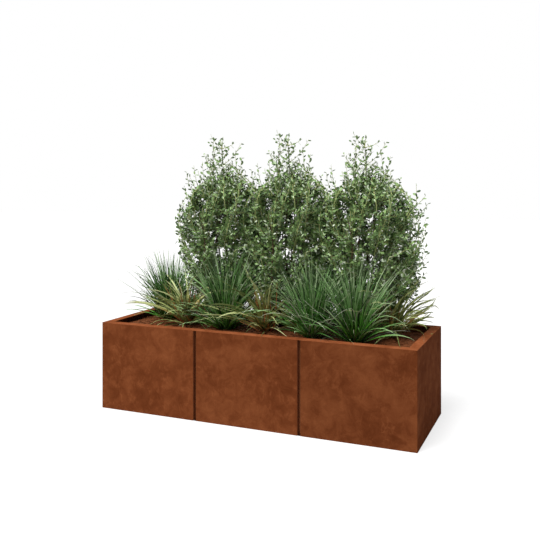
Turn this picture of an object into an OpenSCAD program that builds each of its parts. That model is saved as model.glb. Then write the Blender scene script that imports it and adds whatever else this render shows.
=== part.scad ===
// Planter box of weathering steel sheet: three modules bolted into one long trough,
// with a continuous rim, a drained floor, levelling feet, its filling and its planting.
// Millimetres. +X runs along the length, to the right in the front view, +Y to the back and
// +Z up. The origin is the middle of the base, on the ground.

/* [Trough] */
// Outside length
box_l = 2220; // [2100:10:2700]
// Outside width, front to back
box_w = 800; // [760:10:1100]
// Outside height, ground to rim top
box_h = 600; // [560:10:900]
// Thickness of the steel sheet
sheet_t = 3; // [2:0.5:4]
// Outside radius of the corners and of the bends beside the joints
corner_r = 3; // [2:0.5:5]

/* [Joints between the modules] */
// Width of the recessed joint between two panels
joint_w = 20; // [12:1:30]
// Depth of the recessed joint
joint_d = 30; // [20:1:45]
// Width of the flange folded inwards behind the joint
fold_w = 25; // [22:1:30]
// Width of the upright channel that closes the joint from inside
channel_w = 80; // [76:1:110]
// Depth of that channel, web included
channel_d = 27; // [22:1:40]
// Width of the flange along the bottom edge of each wall
foot_flange_w = 25; // [15:1:30]

/* [Rim] */
// Width of the rim
rim_w = 60; // [58:1:90]
// Thickness of the rim
rim_t = 3; // [2:0.5:5]
// Radius of the rim's outer top edge
rim_edge_r = 2; // [1:0.5:2]
// Height of the tabs that bolt the rim to the walls
tab_h = 30; // [26:1:32]
// Length of a tab
tab_l = 400; // [200:10:500]

/* [Corner posts and ties] */
// Leg of the angle in each corner
post_leg = 40; // [36:1:50]
// Height of the middle of the cross ties above the ground
tie_z = 290; // [220:5:300]
// Height of a tie's flat bar
tie_bar_h = 40; // [30:1:50]
// Thickness of a tie's flat bar
tie_bar_t = 6; // [4:1:8]
// Height of a tie's end plate
tie_plate_h = 90; // [86:1:120]
// Width of a tie's end plate
tie_plate_w = 30; // [24:1:32]
// Thickness of a tie's end plate
tie_plate_t = 5; // [3:1:8]

/* [Base frame and floor] */
// Width of the rails and bearers under the floor
rail_w = 60; // [50:1:70]
// Height of the rails and bearers
rail_h = 50; // [48:1:80]
// Wall of the rails and bearers
rail_wall = 3; // [2:0.5:5]
// Distance from the outside end of the trough to the middle of the end rail
end_rail_inset = 75; // [74:1:120]
// Height of the floor tray's turned-up edge
tray_edge_h = 40; // [20:1:60]
// Gap between a tray and what stands beside it
tray_gap = 2; // [1:0.5:4]

/* [Drains] */
// Radius of the drain bore
drain_bore_r = 16; // [10:1:20]
// Wall of the drain spigot
drain_wall = 3; // [2:0.5:5]
// Width of the spigot's flange on the floor
drain_flange_w = 12; // [8:1:20]
// Height of the spigot's lower end above the ground
drain_end_z = 12; // [6:1:30]
// Height of the strainer over the drain
strainer_h = 24; // [16:1:40]
// Slots round the strainer
strainer_slots = 8; // [4:1:10]
// Offset of the middle drain from the middle rail
middle_drain_x = 185; // [80:5:280]

/* [Levelling feet] */
// Radius of the foot's threaded stud
foot_stud_r = 6; // [5:0.5:8]
// Radius of the foot's pad
pad_r = 25; // [18:1:28]
// Height of the pad
pad_h = 12; // [8:1:12]
// How far a foot winds out
foot_travel = 18; // [5:1:18]
// Distance from the outside of the wall to the foot
foot_inset = 63; // [60:1:68]
// Thickness of the bracket that carries the foot's nut
bracket_t = 6; // [4:1:6]
// Height of the foot's nut
foot_nut_h = 10; // [6:1:12]
// Width across flats of the foot's nut
foot_nut_af = 19; // [17:1:24]
// Thickness of the plate on the end of a rail
rail_end_t = 5; // [3:1:5]

/* [Weld studs] */
// Radius of the weld studs
bolt_r = 4; // [3:0.5:5]
// Width across flats of their nuts
nut_af = 13; // [10:1:14]
// Height of their nuts
nut_h = 6.5; // [4:0.5:8]
// Length of the stud beyond its nut
bolt_end = 2; // [0.5:0.5:4]

/* [Filling] */
// Depth of the expanded clay on the floor
clay_depth = 80; // [50:5:80]
// Thickness of the filter fleece on the clay
fleece_t = 2; // [1.5:0.5:4]
// Thickness of the bark mulch
mulch_t = 50; // [30:5:60]
// Depth of the mulch below the rim's top
mulch_drop = 40; // [34:1:60]

/* [Shrubs] */
// Height of a shrub above the mulch
shrub_h = 1370; // [900:5:1600]
// Widest radius of a shrub's crown
shrub_r = 320; // [280:5:400]
// How far a crown leans to the right of its stem
crown_lean = 60; // [0:5:70]
// Distance of the row of shrubs behind the middle of the trough
shrub_row_y = 160; // [160:5:200]
// Radius of a shrub's stem
shrub_stem_r = 14; // [8:1:25]
// Radius of a shrub's root ball
shrub_root_r = 110; // [80:5:110]
// Depth of a shrub's root ball
shrub_root_d = 180; // [120:5:180]

/* [Grasses] */
// Height of a tussock above the mulch
tussock_h = 500; // [300:5:600]
// Radius of a tussock
tussock_r = 225; // [150:5:260]
// Height of a sedge above the mulch
sedge_h = 300; // [200:5:450]
// Radius of a sedge
sedge_r = 235; // [150:5:260]
// Radius of a grass's foot where it comes out of the mulch
grass_foot_r = 40; // [25:1:48]
// Radius of a grass's root plug
plug_r = 50; // [49:1:56]
// Depth of a grass's root plug
plug_d = 100; // [60:5:100]

/* [Hidden] */

$fn = 48;
// Small overlap that joins the parts of one solid, and passes cuts through faces
eps = 1;
// Clearance of the filling and the planting from what stands beside them
soft_gap = 0.3;
// Clearance of a weld stud in its hole
bolt_gap = 0.5;
// Running clearance of a foot's thread in its nut
thread_gap = 0.05;
// Clearance of the foot's stud in the bracket, and of its top below the floor
stud_gap = 0.5;
stud_top_gap = 2;
// Gap between the foot's pad and the bracket above it
pad_gap = 2;
// Number of sides of a nut
nut_sides = 6;
// Angle between two points of a bend's outline
bend_step = 15;

// Three modules: pitch of the joints, and their places along the trough
module_l = box_l / 3;
joint_xs = [-module_l / 2, module_l / 2];
// Inside of the walls
inner_l = box_l - 2 * sheet_t;
inner_w = box_w - 2 * sheet_t;
wall_h = box_h - rim_t;
// The joint channels stand this deep from the outside of the wall
channel_back = joint_d + channel_d;

// Studs: offset beside a joint, from a corner, and their heights on the uprights
joint_stud_x = joint_w / 2 + fold_w / 2;
post_stud_x = sheet_t + post_leg / 2 + bolt_r / 2;
low_stud_z = 110;
stud_zs = [low_stud_z, (low_stud_z + wall_h - tab_h - low_stud_z / 2) / 2,
           wall_h - tab_h - low_stud_z / 2];
tie_stud_dz = tie_plate_h / 2 - nut_af;

end_tab_l = min(tab_l, inner_w / 2);

// Base frame
end_rail_x = box_l / 2 - end_rail_inset;
rail_xs = [-end_rail_x, 0, end_rail_x];
foot_y = box_w / 2 - foot_inset;
bracket_z = pad_h + pad_gap;
bracket_l = foot_inset - sheet_t + pad_r + 2 * pad_gap;
rail_half = box_w / 2 - sheet_t - bracket_l - rail_end_t;
bracket_stud_z = (bracket_z + bracket_t + rail_h) / 2 + nut_h / 2;
foot_top_z = rail_h - stud_top_gap;

// Floor and drains
floor_z = rail_h + sheet_t;
drain_out_r = drain_bore_r + drain_wall;
drain_flange_r = drain_out_r + drain_flange_w;
drain_xs = [-module_l, middle_drain_x, module_l];
strainer_t = 2;

// Filling, from the floor up
clay_top = floor_z + soft_gap + clay_depth;
fleece_top = clay_top + fleece_t;
mulch_top = box_h - mulch_drop;
soil_top = mulch_top - mulch_t;

// Planting plan, as shares of the trough's length and width from its middle
shrub_xs = [for (share = [-0.2185, 0.0195, 0.2735]) share * box_l];
tussock_at = planted([[-0.396, 0.163], [-0.135, -0.094], [0.162, -0.131], [0.295, -0.175]]);
sedge_at = planted([[-0.281, -0.038], [-0.007, -0.025], [0.376, 0.138]]);
grass_at = concat(tussock_at, sedge_at);

// Outline of each plant as [share of its radius, share of its height]
crown_outline = [[0.24, 0.045], [0.46, 0.11], [0.69, 0.18], [0.83, 0.26], [0.91, 0.34],
                 [0.9, 0.42], [0.91, 0.5], [1, 0.57], [0.85, 0.62], [0.74, 0.67], [0.59, 0.73],
                 [0.4, 0.77], [0.22, 0.81], [0.12, 0.86], [0.05, 1]];
tussock_outline = [[0.42, 0.08], [0.6, 0.25], [0.72, 0.45], [0.86, 0.68], [0.88, 0.78],
                   [0.6, 0.88], [0.14, 1]];
sedge_outline = [[0.6, 0.2], [0.88, 0.45], [1, 0.65], [0.9, 0.87], [0.5, 1]];

function planted(shares) = [for (p = shares) [p[0] * box_l, p[1] * box_w]];
function is_tussock(i) = i < len(tussock_at);
function grass_r(i) = is_tussock(i) ? tussock_r : sedge_r;
function grass_h(i) = is_tussock(i) ? tussock_h : sedge_h;

// Colours
steel = [0.44, 0.23, 0.13];
steel_rim = [0.53, 0.30, 0.17];
steel_dark = [0.32, 0.17, 0.11];
zinc = [0.62, 0.63, 0.64];
clay = [0.55, 0.33, 0.22];
fleece = [0.80, 0.80, 0.77];
soil = [0.20, 0.14, 0.10];
bark = [0.36, 0.20, 0.12];
leaf = [0.24, 0.36, 0.20];
blade = [0.25, 0.45, 0.20];
olive = [0.50, 0.50, 0.26];
plastic = [0.12, 0.12, 0.12];

// ---- Walls. A wall is drawn in its own frame: x along it, y inwards from its outer face ----

module on_front() translate([0, -box_w / 2, 0]) children();
module on_back() rotate([0, 0, 180]) on_front() children();
module on_right() translate([box_l / 2, 0, 0]) rotate([0, 0, 90]) children();
module on_left() rotate([0, 0, 180]) on_right() children();

function reversed(points) = [for (i = [len(points) - 1:-1:0]) points[i]];

// One end of a wall's plan, from its outer face to its inner one, as [distance back from the
// end, y]: a fold beside a joint, or half of a rounded corner, up to its 45 degree seam
function wall_end(joint) =
    concat([for (a = [0:bend_step:joint ? 90 : 45]) [corner_r * (1 - sin(a)), corner_r * (1 - cos(a))]],
           joint ? [[0, joint_d], [fold_w, joint_d], [fold_w, joint_d - sheet_t],
                    [sheet_t, joint_d - sheet_t]] : [],
           [[sheet_t, sheet_t]]);

module wall(x0, x1, joint0, joint1) {
    linear_extrude(height = wall_h)
        polygon(concat([for (p = wall_end(joint1)) [x1 - p[0], p[1]]],
                       reversed([for (p = wall_end(joint0)) [x0 + p[0], p[1]]])));
    flange_x0 = x0 + (joint0 ? fold_w : sheet_t + post_leg) + tray_gap;
    flange_x1 = x1 - (joint1 ? fold_w : sheet_t + post_leg) - tray_gap;
    translate([flange_x0, sheet_t / 2, 0])
        cube([flange_x1 - flange_x0, foot_flange_w - sheet_t / 2, sheet_t]);
}

module long_wall(place) {
    x0 = place < 0 ? -box_l / 2 : (place == 0 ? joint_xs[0] : joint_xs[1]) + joint_w / 2;
    x1 = place > 0 ? box_l / 2 : (place == 0 ? joint_xs[1] : joint_xs[0]) - joint_w / 2;
    wall(x0, x1, place > -1, place < 1);
}

module end_wall() wall(-box_w / 2, box_w / 2, false, false);

// ---- Weld studs: each stands on the sheet that it is welded to, and a nut holds the grip ----

module weld_stud(grip) {
    rotate([-90, 0, 0]) {
        cylinder(r = bolt_r, h = grip + nut_h + bolt_end);
        translate([0, 0, grip])
            cylinder(d = nut_af / cos(180 / nut_sides), h = nut_h, $fn = nut_sides);
    }
}

module stud_hole(grip) {
    translate([0, -eps, 0])
        rotate([-90, 0, 0])
            cylinder(r = bolt_r + bolt_gap, h = grip + 2 * eps);
}

// Where the studs of a wall stand, as [x, y of the seat, z, grip]
function joint_studs() = [for (x = joint_xs, side = [-1, 1], z = stud_zs)
                              [x + side * joint_stud_x, joint_d, z, sheet_t]];
function tie_studs() = [for (x = joint_xs, side = [-1, 1])
                            [x, joint_d + sheet_t, tie_z + side * tie_stud_dz, tie_plate_t]];
function post_studs(wall_l) = [for (side = [-1, 1], z = stud_zs)
                                   [side * (wall_l / 2 - post_stud_x), sheet_t, z, sheet_t]];
function bracket_studs() = [for (x = rail_xs) [x, sheet_t, bracket_stud_z, sheet_t]];
function tab_studs(xs, l) = [for (x = xs, side = [-1, 1])
                                 [x + side * (l / 2 - 2 * nut_af), sheet_t,
                                  wall_h - tab_h / 2, sheet_t]];

module studs(places) {
    for (p = places) translate([p[0], p[1], p[2]]) weld_stud(p[3]);
}

module stud_holes(places) {
    for (p = places) translate([p[0], p[1], p[2]]) stud_hole(p[3]);
}

module frame_studs() color(zinc) {
    on_front() studs(concat(joint_studs(), tie_studs(), post_studs(box_l), bracket_studs()));
    on_back() studs(concat(joint_studs(), tie_studs(), post_studs(box_l), bracket_studs()));
    on_left() studs(post_studs(box_w));
    on_right() studs(post_studs(box_w));
}

long_tab_xs = [-module_l, 0, module_l];

module rim_studs() color(zinc) {
    on_front() studs(tab_studs(long_tab_xs, tab_l));
    on_back() studs(tab_studs(long_tab_xs, tab_l));
    on_left() studs(tab_studs([0], end_tab_l));
    on_right() studs(tab_studs([0], end_tab_l));
}

// ---- Uprights inside the walls ----

// A plate welded across the channel's foot closes the joint below
module joint_channel(x) color(steel_dark) {
    difference() {
        translate([x - channel_w / 2, joint_d, 0])
            difference() {
                cube([channel_w, channel_d, wall_h]);
                translate([sheet_t, sheet_t, -eps])
                    cube([channel_w - 2 * sheet_t, channel_d, wall_h + 2 * eps]);
            }
        stud_holes(joint_studs());
    }
    foot_plate_w = joint_w - tray_gap;
    translate([x - foot_plate_w / 2, corner_r, 0])
        cube([foot_plate_w, joint_d - corner_r + sheet_t / 2, sheet_t]);
}

// The angle in the corner at the wall frame's right-hand end, bolted to both walls
module corner_post(wall_l, other_l) color(steel_dark) {
    difference() {
        translate([wall_l / 2 - sheet_t - post_leg, sheet_t, 0])
            difference() {
                cube([post_leg, post_leg, wall_h]);
                translate([-eps, sheet_t, -eps])
                    cube([post_leg - sheet_t + eps, post_leg, wall_h + 2 * eps]);
            }
        stud_holes(post_studs(wall_l));
        translate([wall_l / 2, other_l / 2, 0])
            rotate([0, 0, 90])
                stud_holes(post_studs(other_l));
    }
}

module cross_tie(x) color(steel_dark) {
    plate_y = box_w / 2 - joint_d - sheet_t - tie_plate_t;
    translate([x - tie_bar_t / 2, -plate_y - eps, tie_z - tie_bar_h / 2])
        cube([tie_bar_t, 2 * (plate_y + eps), tie_bar_h]);
    for (turn = [0, 180])
        rotate([0, 0, turn])
            translate([(turn == 0 ? x : -x) - tie_plate_w / 2, plate_y, tie_z - tie_plate_h / 2])
                difference() {
                    cube([tie_plate_w, tie_plate_t, tie_plate_h]);
                    for (side = [-1, 1])
                        translate([tie_plate_w / 2, 0, tie_plate_h / 2 + side * tie_stud_dz])
                            stud_hole(tie_plate_t);
                }
}

// ---- Rim: four mitred lengths with tabs down inside the walls ----

module rim_section() {
    edge = [for (a = [0:bend_step:90])
                [rim_edge_r * (1 - cos(a)), rim_t - rim_edge_r * (1 - sin(a))]];
    polygon(concat([[0, 0]], edge, [[rim_w, rim_t], [rim_w, 0]]));
}

module rim_length(wall_l, tab_xs, l) {
    intersection() {
        translate([-wall_l / 2, 0, wall_h])
            rotate([90, 0, 90])
                linear_extrude(height = wall_l) rim_section();
        translate([0, 0, wall_h - eps])
            linear_extrude(height = rim_t + 2 * eps)
                polygon([[-wall_l / 2, 0], [wall_l / 2, 0],
                         [wall_l / 2 - rim_w, rim_w], [rim_w - wall_l / 2, rim_w]]);
    }
    difference() {
        for (x = tab_xs)
            translate([x - l / 2, sheet_t, wall_h - tab_h])
                cube([l, sheet_t, tab_h + rim_t / 2]);
        stud_holes(tab_studs(tab_xs, l));
    }
}

module long_rim() color(steel_rim) rim_length(box_l, long_tab_xs, tab_l);
module end_rim() color(steel_rim) rim_length(box_w, [0], end_tab_l);

// ---- Base frame ----

module box_section(half) {
    difference() {
        translate([-rail_w / 2, -half, 0]) cube([rail_w, 2 * half, rail_h]);
        translate([-rail_w / 2 + rail_wall, -half - eps, rail_wall])
            cube([rail_w - 2 * rail_wall, 2 * (half + eps), rail_h - 2 * rail_wall]);
    }
}

module bearer(x) color(steel_dark)
    translate([x, 0, 0]) box_section(box_w / 2 - joint_d - sheet_t);

// A foot bracket in the front wall's frame: end plate, shelf for the nut, leg on the wall
module foot_bracket() {
    shelf_end = sheet_t + bracket_l;
    translate([-rail_w / 2, shelf_end, 0]) cube([rail_w, rail_end_t, rail_h]);
    difference() {
        translate([-rail_w / 2, sheet_t, bracket_z])
            cube([rail_w, bracket_l + rail_end_t / 2, bracket_t]);
        translate([0, foot_inset, bracket_z - eps])
            cylinder(r = foot_stud_r + stud_gap, h = bracket_t + 2 * eps);
    }
    difference() {
        translate([-rail_w / 2, sheet_t, bracket_z])
            cube([rail_w, sheet_t, rail_h - bracket_z]);
        translate([0, sheet_t, bracket_stud_z]) stud_hole(sheet_t);
    }
}

module rail(x) color(steel_dark) {
    translate([x, 0, 0]) {
        box_section(rail_half + rail_end_t / 2);
        on_front() foot_bracket();
        on_back() foot_bracket();
    }
}

module foot_nuts() color(zinc) {
    for (x = rail_xs, y = [-foot_y, foot_y])
        translate([x, y, bracket_z + bracket_t])
            difference() {
                cylinder(d = foot_nut_af / cos(180 / nut_sides), h = foot_nut_h, $fn = nut_sides);
                translate([0, 0, -eps])
                    cylinder(r = foot_stud_r + thread_gap, h = foot_nut_h + 2 * eps);
            }
}

module foot(x, side) color(zinc) {
    translate([x, side * foot_y, 0]) {
        cylinder(r = foot_stud_r, h = foot_top_z);
        cylinder(r = pad_r, h = pad_h / 2);
        translate([0, 0, pad_h / 2]) cylinder(r1 = pad_r, r2 = pad_r / 2, h = pad_h / 2);
    }
}

// ---- Floor and drains ----

// Columns that keep the floor and the filling clear of the uprights by gap, from z0 to z1
module clear_of_uprights(z0, z1, gap) {
    for (x = joint_xs, side = [-1, 1])
        translate([x - channel_w / 2 - gap,
                   side > 0 ? box_w / 2 - channel_back - gap : -box_w / 2 - eps, z0])
            cube([channel_w + 2 * gap, channel_back + gap + eps, z1 - z0]);
    for (sx = [-1, 1], sy = [-1, 1])
        translate([sx > 0 ? inner_l / 2 - post_leg - gap : -box_l / 2,
                   sy > 0 ? inner_w / 2 - post_leg - gap : -box_w / 2, z0])
            cube([post_leg + gap + sheet_t, post_leg + gap + sheet_t, z1 - z0]);
}

module floor_tray(place) color(steel_dark) {
    x0 = place < 0 ? -inner_l / 2 + tray_gap : joint_xs[place] + tray_gap / 2;
    x1 = place > 0 ? inner_l / 2 - tray_gap : joint_xs[place + 1] - tray_gap / 2;
    y0 = inner_w / 2 - tray_gap;
    difference() {
        translate([x0, -y0, rail_h]) cube([x1 - x0, 2 * y0, sheet_t + tray_edge_h]);
        translate([x0 + sheet_t, sheet_t - y0, floor_z])
            cube([x1 - x0 - 2 * sheet_t, 2 * (y0 - sheet_t), tray_edge_h + eps]);
        clear_of_uprights(rail_h - eps, floor_z + tray_edge_h + eps, tray_gap);
        translate([drain_xs[place + 1], 0, rail_h - eps])
            cylinder(r = drain_out_r + stud_gap, h = sheet_t + 2 * eps);
    }
}

module drain(place) color(plastic) {
    translate([drain_xs[place + 1], 0, drain_end_z])
        difference() {
            union() {
                cylinder(r = drain_out_r, h = floor_z - drain_end_z + eps);
                translate([0, 0, floor_z - drain_end_z]) cylinder(r = drain_flange_r, h = drain_wall);
            }
            translate([0, 0, -eps])
                cylinder(r = drain_bore_r, h = floor_z - drain_end_z + drain_wall + 2 * eps);
        }
}

module drain_strainers() color(plastic) {
    for (x = drain_xs)
        translate([x, 0, floor_z + drain_wall])
            difference() {
                cylinder(r = drain_flange_r, h = strainer_h);
                translate([0, 0, -eps])
                    cylinder(r = drain_flange_r - strainer_t, h = strainer_h - strainer_t + eps);
                for (i = [0:strainer_slots - 1])
                    rotate([0, 0, i * 360 / strainer_slots])
                        translate([0, -strainer_t, strainer_h / 4])
                            cube([drain_flange_r + eps, 2 * strainer_t, strainer_h / 2]);
            }
}

// ---- Filling ----

module layer(z0, z1, side_gap) {
    difference() {
        translate([-inner_l / 2 + side_gap, -inner_w / 2 + side_gap, z0])
            cube([inner_l - 2 * side_gap, inner_w - 2 * side_gap, z1 - z0]);
        clear_of_uprights(z0 - eps, z1 + eps, soft_gap);
    }
}

// Space inside the turned-up edges of the trays
tray_inside_gap = tray_gap + sheet_t + soft_gap;

module drainage_layer() color(clay) {
    seam = tray_gap / 2 + sheet_t + soft_gap;
    drain_pocket_h = drain_wall + strainer_h + soft_gap;
    difference() {
        layer(floor_z + soft_gap, clay_top, tray_inside_gap);
        clear_of_uprights(floor_z, floor_z + tray_edge_h + soft_gap, tray_gap + soft_gap);
        for (x = joint_xs)
            translate([x - seam, -inner_w / 2, floor_z])
                cube([2 * seam, inner_w, tray_edge_h + soft_gap]);
        for (x = drain_xs)
            translate([x, 0, floor_z])
                cylinder(r = drain_flange_r + soft_gap, h = drain_pocket_h);
    }
}

module filter_fleece() color(fleece) layer(clay_top, fleece_top, tray_inside_gap);

module substrate() color(soil) {
    difference() {
        layer(fleece_top, soil_top, soft_gap);
        for (x = joint_xs)
            translate([x - tie_bar_t / 2 - soft_gap, -inner_w / 2, tie_z - tie_bar_h / 2 - soft_gap])
                cube([tie_bar_t + 2 * soft_gap, inner_w, tie_bar_h + 2 * soft_gap]);
        for (x = shrub_xs)
            translate([x, shrub_row_y, soil_top - shrub_root_d - soft_gap])
                cylinder(r = shrub_root_r + soft_gap, h = shrub_root_d + eps);
        for (p = grass_at)
            translate([p[0], p[1], soil_top - plug_d - soft_gap])
                cylinder(r = plug_r + soft_gap, h = plug_d + eps);
    }
}

module mulch() color(bark) {
    difference() {
        layer(soil_top, mulch_top, soft_gap);
        for (x = shrub_xs)
            translate([x, shrub_row_y, soil_top - eps])
                cylinder(r = shrub_stem_r + soft_gap, h = mulch_t + 2 * eps);
        for (p = grass_at)
            translate([p[0], p[1], soil_top - eps])
                cylinder(r = grass_foot_r + soft_gap, h = mulch_t + 2 * eps);
    }
}

// ---- Planting: the closed outer shape of each plant, on its root ball ----

// A root ball or plug, then the stem up through the mulch, as points of half an outline
function root_points(ball_r, depth, stem_r) =
    [[0, -mulch_t - depth], [ball_r, -mulch_t - depth], [ball_r, -mulch_t - soft_gap],
     [stem_r, -mulch_t - soft_gap]];

function scaled(outline, r, h) = [for (p = outline) [p[0] * r, p[1] * h]];

// Beyond the line between two plants, at the share of the gap that their radii give
module beyond_line(from, to, share, h) {
    d = norm(to - from);
    translate([from[0], from[1], -mulch_t / 2])
        rotate([0, 0, atan2(to[1] - from[1], to[0] - from[0])])
            translate([d * share - soft_gap / 2, -d, mulch_t / 2 + soft_gap])
                cube([d, 2 * d, h]);
}

module grass(i) {
    h = grass_h(i);
    outline = scaled(is_tussock(i) ? tussock_outline : sedge_outline, grass_r(i), h);
    color(is_tussock(i) ? blade : olive)
        translate([0, 0, mulch_top])
            difference() {
                translate([grass_at[i][0], grass_at[i][1], 0])
                    rotate_extrude()
                        polygon(concat(root_points(plug_r, plug_d, grass_foot_r),
                                       [[grass_foot_r, 0]], outline, [[0, h]]));
                for (j = [0:len(grass_at) - 1])
                    if (j != i && norm(grass_at[j] - grass_at[i]) < grass_r(i) + grass_r(j))
                        beyond_line(grass_at[i], grass_at[j],
                                    grass_r(i) / (grass_r(i) + grass_r(j)), h + eps);
                for (x = shrub_xs)
                    translate([x, shrub_row_y, 0])
                        cylinder(r = shrub_stem_r + soft_gap, h = h + eps);
            }
}

// Crown of a shrub, cut off halfway to the shrubs beside it and cut back over the grasses
module crown(i) {
    middle = shrub_xs[i] + crown_lean;
    difference() {
        translate([middle, shrub_row_y, mulch_top])
            rotate_extrude()
                polygon(concat([[0, crown_outline[0][1] * shrub_h]],
                               scaled(crown_outline, shrub_r, shrub_h), [[0, shrub_h]]));
        for (side = [-1, 1])
            if (i + side >= 0 && i + side < len(shrub_xs)) {
                half_way = (shrub_xs[i + side] - shrub_xs[i]) / 2 - side * soft_gap / 2;
                translate([middle + half_way - (side < 0 ? 2 * shrub_r : 0),
                           shrub_row_y - 2 * shrub_r, mulch_top])
                    cube([2 * shrub_r, 4 * shrub_r, shrub_h + eps]);
            }
        for (j = [0:len(grass_at) - 1])
            translate([grass_at[j][0], grass_at[j][1], mulch_top])
                cylinder(r = grass_r(j) + soft_gap, h = grass_h(j) + soft_gap);
    }
}

module shrub(i) color(leaf) {
    crown(i);
    translate([shrub_xs[i], shrub_row_y, mulch_top])
        rotate_extrude()
            polygon(concat(root_points(shrub_root_r, shrub_root_d, shrub_stem_r),
                           [[shrub_stem_r, shrub_h / 2], [0, shrub_h / 2]]));
}

color(steel) on_front() long_wall(-1);  // front_panel_left
color(steel) on_front() long_wall(0);  // front_panel_middle
color(steel) on_front() long_wall(1);  // front_panel_right
color(steel) on_back() long_wall(1);  // back_panel_left
color(steel) on_back() long_wall(0);  // back_panel_middle
color(steel) on_back() long_wall(-1);  // back_panel_right
color(steel) on_left() end_wall();  // end_panel_left
color(steel) on_right() end_wall();  // end_panel_right
on_front() long_rim();  // rim_front
on_back() long_rim();  // rim_back
on_left() end_rim();  // rim_left
on_right() end_rim();  // rim_right
on_front() joint_channel(joint_xs[0]);  // joint_channel_front_left
on_front() joint_channel(joint_xs[1]);  // joint_channel_front_right
on_back() joint_channel(joint_xs[1]);  // joint_channel_back_left
on_back() joint_channel(joint_xs[0]);  // joint_channel_back_right
on_left() corner_post(box_w, box_l);  // corner_post_front_left
on_front() corner_post(box_l, box_w);  // corner_post_front_right
on_back() corner_post(box_l, box_w);  // corner_post_back_left
on_right() corner_post(box_w, box_l);  // corner_post_back_right
cross_tie(joint_xs[0]);  // cross_tie_left
cross_tie(joint_xs[1]);  // cross_tie_right
rail(rail_xs[0]);  // rail_left
rail(rail_xs[1]);  // rail_middle
rail(rail_xs[2]);  // rail_right
bearer(joint_xs[0]);  // bearer_left
bearer(joint_xs[1]);  // bearer_right
foot_nuts();
foot(rail_xs[0], -1);  // foot_front_left
foot(rail_xs[1], -1);  // foot_front_middle
foot(rail_xs[2], -1);  // foot_front_right
foot(rail_xs[0], 1);  // foot_back_left
foot(rail_xs[1], 1);  // foot_back_middle
foot(rail_xs[2], 1);  // foot_back_right
floor_tray(-1);  // floor_tray_left
floor_tray(0);  // floor_tray_middle
floor_tray(1);  // floor_tray_right
drain(-1);  // drain_left
drain(0);  // drain_middle
drain(1);  // drain_right
drain_strainers();
frame_studs();
rim_studs();
drainage_layer();
filter_fleece();
substrate();
mulch();
shrub(0);  // shrub_left
shrub(1);  // shrub_middle
shrub(2);  // shrub_right
grass(0);  // tussock_1
grass(1);  // tussock_2
grass(2);  // tussock_3
grass(3);  // tussock_4
grass(4);  // sedge_1
grass(5);  // sedge_2
grass(6);  // sedge_3
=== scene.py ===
# %% [markdown]
# # A planted trough of weathering steel
# The object is a long garden trough of rusted sheet steel in three bolted modules, filled
# with soil under bark mulch and planted with three shrubs, four upright tussock grasses and
# three arching sedges. Its steel comes from the CAD frame and keeps its exact shape; this
# file gives it a rust finish, and models what CAD can only stand in for: the loose mulch,
# the leaves, the twigs and the blades.

# %% Load the CAD frame
import math

import bpy
import numpy as np
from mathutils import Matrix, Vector
from mathutils.bvhtree import BVHTree


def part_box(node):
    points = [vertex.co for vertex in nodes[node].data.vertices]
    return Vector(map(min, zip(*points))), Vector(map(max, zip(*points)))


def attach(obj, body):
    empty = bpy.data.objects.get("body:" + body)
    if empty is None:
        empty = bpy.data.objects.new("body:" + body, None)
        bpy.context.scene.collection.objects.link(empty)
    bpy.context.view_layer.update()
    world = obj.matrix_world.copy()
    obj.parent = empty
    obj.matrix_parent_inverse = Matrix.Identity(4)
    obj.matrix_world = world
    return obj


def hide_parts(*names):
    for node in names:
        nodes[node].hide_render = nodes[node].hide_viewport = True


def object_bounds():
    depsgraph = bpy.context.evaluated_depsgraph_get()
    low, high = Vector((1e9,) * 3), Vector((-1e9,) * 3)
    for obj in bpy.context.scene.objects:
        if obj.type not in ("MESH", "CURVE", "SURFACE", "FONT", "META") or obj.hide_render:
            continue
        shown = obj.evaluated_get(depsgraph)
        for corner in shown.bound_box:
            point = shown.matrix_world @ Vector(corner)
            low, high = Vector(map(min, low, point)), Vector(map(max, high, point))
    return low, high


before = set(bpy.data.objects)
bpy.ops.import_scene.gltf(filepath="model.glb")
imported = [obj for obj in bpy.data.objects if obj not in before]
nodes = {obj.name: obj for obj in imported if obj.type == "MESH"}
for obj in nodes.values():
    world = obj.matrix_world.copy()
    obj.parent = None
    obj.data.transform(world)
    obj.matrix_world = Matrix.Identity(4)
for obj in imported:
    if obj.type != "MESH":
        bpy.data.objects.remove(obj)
cad_box = [list(corner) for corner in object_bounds()]
print("CAD box", [[round(v, 3) for v in corner] for corner in cad_box])

# %% [markdown]
# ## Image points and camera
# These are the only numbers taken from the photograph, in its 540 by 540 frame. The trough's
# corners set the camera. The other points belong to the planting, and the fallen leaf on the rim
# is placed by its own.

# %% Image points
FRAME_W = FRAME_H = 540
POINTS = {
    "front_left_top": (102.2, 322.2),
    "front_left_bottom": (102.2, 407.3),
    "front_right_top": (417.4, 350.5),
    "front_right_bottom": (417.4, 453.2),
    "back_right_top": (441.0, 326.2),
    "back_right_bottom": (441.0, 413.5),
    "joint_left_bottom": (193.5, 420.8),
    "joint_right_bottom": (298.4, 436.0),
    "shrub_left_tip": (213.0, 137.3),
    "shrub_middle_tip": (278.0, 133.5),
    "shrub_right_tip": (354.6, 132.6),
    "tussock_1_foot": (170.0, 317.0),
    "tussock_2_foot": (226.0, 328.3),
    "tussock_3_foot": (312.9, 337.0),
    "tussock_4_foot": (354.9, 341.9),
    "sedge_1_foot": (189.0, 323.6),
    "sedge_2_foot": (267.0, 330.0),
    "sedge_3_foot": (391.0, 336.0),
    "fallen_leaf": (430.9, 334.2),
}

# %% [markdown]
# The camera stands at eye height, level, and turned a little to the left, so that upright
# edges stay upright. Its picture is shifted down to take in the trough's foot.

# %% Camera


def add_object(name, data):
    """An object of its own for a mesh, a curve, a lamp or a camera, in the scene."""
    thing = bpy.data.objects.new(name, data)
    bpy.context.scene.collection.objects.link(thing)
    return thing


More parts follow.
